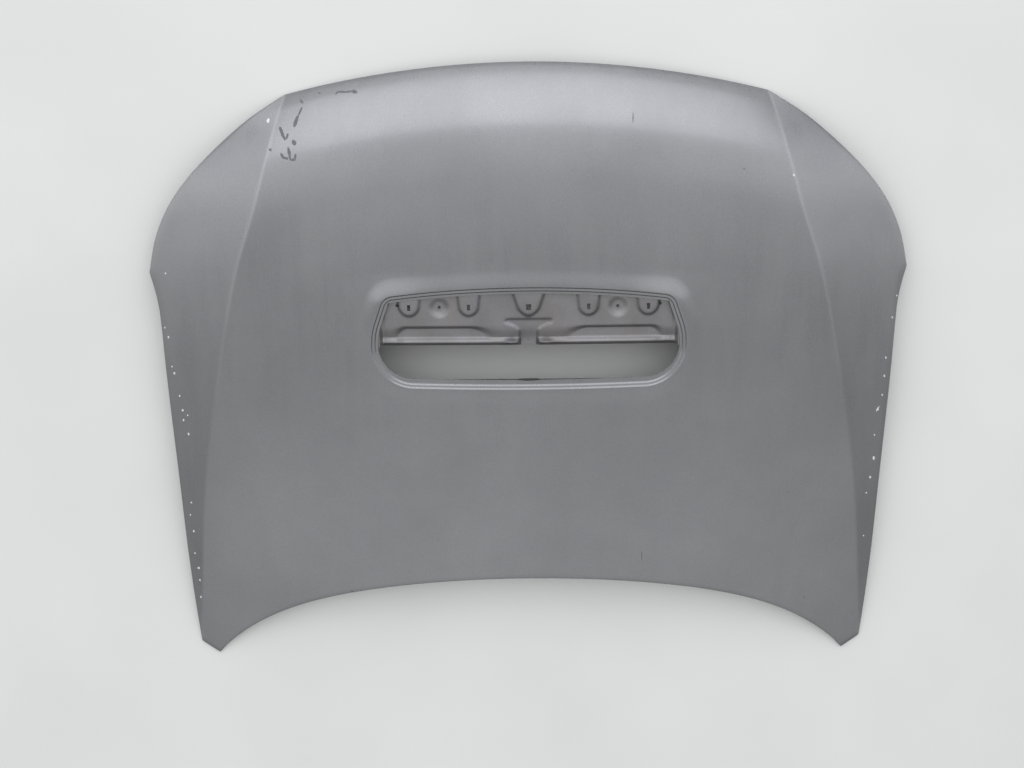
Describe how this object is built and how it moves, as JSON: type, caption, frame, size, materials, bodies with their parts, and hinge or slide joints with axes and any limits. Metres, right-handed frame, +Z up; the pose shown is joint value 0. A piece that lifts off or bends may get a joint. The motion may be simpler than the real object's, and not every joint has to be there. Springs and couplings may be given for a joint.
{
  "type": "car bonnet",
  "caption": "Pressed sheet car bonnet with side creases, arched rear edge, scoop opening, ribbed inner panel, hinge pads and latch striker.",
  "frame": {"origin": "on the floor under the middle of the bonnet as it lies outer side up", "axes": "+X to the right across the bonnet, +Y towards the nose, +Z up"},
  "size_m": [1.4654, 1.1928, 0.1178],
  "materials": {
    "paint": "metallic grey paint, clear coated, dusty and scuffed",
    "primer": "satin body colour over primer",
    "zinc": "dull zinc plate",
    "mastic": "matt"
  },
  "bodies": {
    "root": {"outer_skin": "paint", "inner_panel": "paint", "hinge_reinforcement_left": "primer", "hinge_reinforcement_right": "primer", "striker_reinforcement": "primer", "hinge_nut_left_front": "zinc", "hinge_nut_left_rear": "zinc", "hinge_nut_right_front": "zinc", "hinge_nut_right_rear": "zinc", "striker_plate": "zinc", "striker_loop": "zinc", "striker_bolt_left": "zinc", "striker_bolt_right": "zinc", "striker_nut_left": "zinc", "striker_nut_right": "zinc", "mastic_front_inner_left": "mastic", "mastic_front_inner_right": "mastic", "mastic_front_middle_left": "mastic", "mastic_front_middle_right": "mastic", "mastic_side_inner_left": "mastic", "mastic_side_inner_right": "mastic", "mastic_side_outer_left": "mastic", "mastic_side_outer_right": "mastic", "mastic_rear_inner_left": "mastic", "mastic_rear_inner_right": "mastic", "mastic_rear_middle_left": "mastic", "mastic_rear_middle_right": "mastic"}
  },
  "joints": []
}
